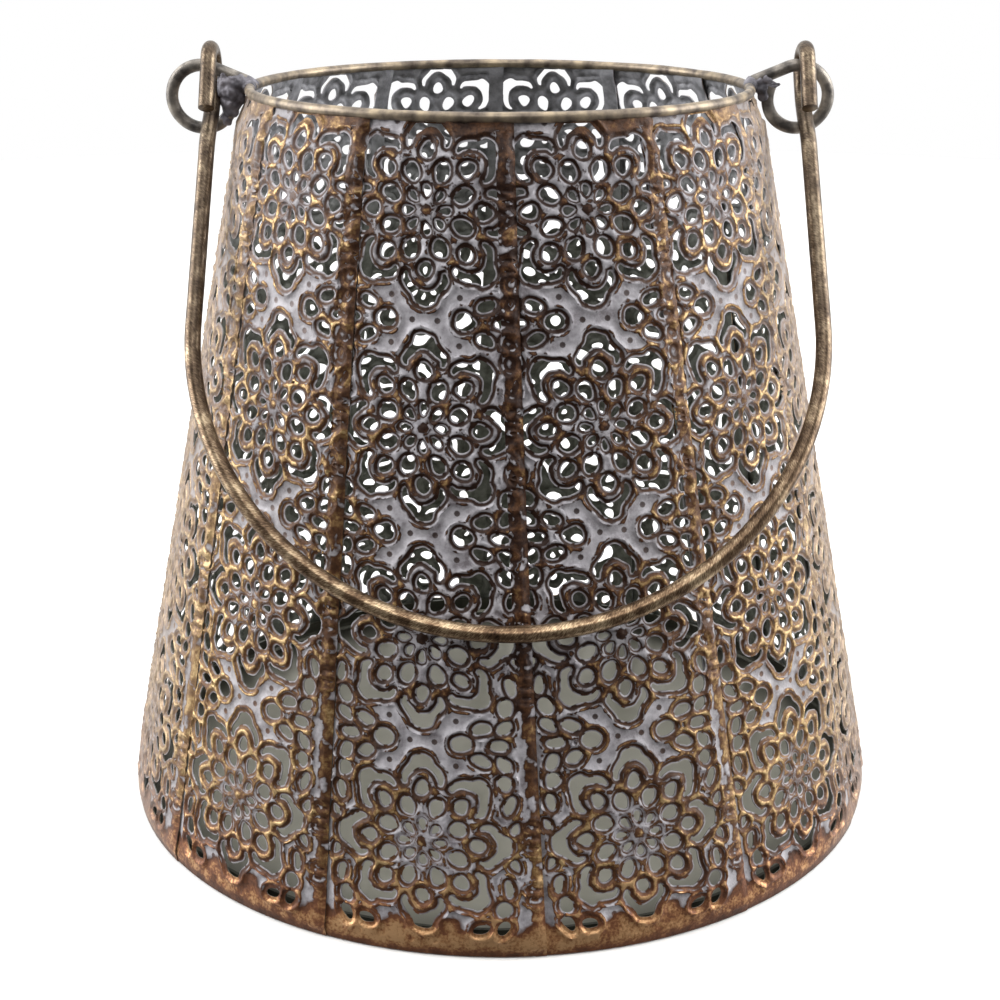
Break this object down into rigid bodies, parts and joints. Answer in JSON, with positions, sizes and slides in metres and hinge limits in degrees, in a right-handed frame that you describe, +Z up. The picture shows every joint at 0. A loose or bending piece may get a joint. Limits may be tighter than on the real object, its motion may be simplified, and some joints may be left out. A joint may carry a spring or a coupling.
{
  "type": "candle lantern",
  "caption": "Round tapering candle lantern of pierced and embossed metal gores on a flat pan, open at the top, with a rim wire, side eyes and a swinging bail handle.",
  "frame": {"origin": "centre of the pan's underside, where the lantern stands", "axes": "+Z up along the lantern's axis, -Y towards the side where the bail hangs, X through the two eyes"},
  "size_m": [0.2002, 0.2002, 0.1919],
  "materials": {
    "pan_sheet": "dull grey-green washed sheet",
    "pierced_sheet": "antique brass ridges over a grey wash",
    "rim_brass": "rubbed antique brass",
    "eye_wire": "dark patina with rubbed highlights",
    "bail_brass": "brushed antique brass"
  },
  "bodies": {
    "body": {"base_pan": "pan_sheet", "gore_01": "pierced_sheet", "gore_02": "pierced_sheet", "gore_03": "pierced_sheet", "gore_04": "pierced_sheet", "gore_05": "pierced_sheet", "gore_06": "pierced_sheet", "gore_07": "pierced_sheet", "gore_08": "pierced_sheet", "gore_09": "pierced_sheet", "gore_10": "pierced_sheet", "gore_11": "pierced_sheet", "gore_12": "pierced_sheet", "rim_wire": "rim_brass", "left_eye": "eye_wire", "right_eye": "eye_wire"},
    "bail": {"bail": "bail_brass"}
  },
  "joints": [
    {"name": "bail_swing", "type": "hinge", "parent": "body", "child": "bail", "pos_m": [0, 0, 0.1856], "axis": [-1, 0, 0], "range_deg": [0, 283]}
  ]
}
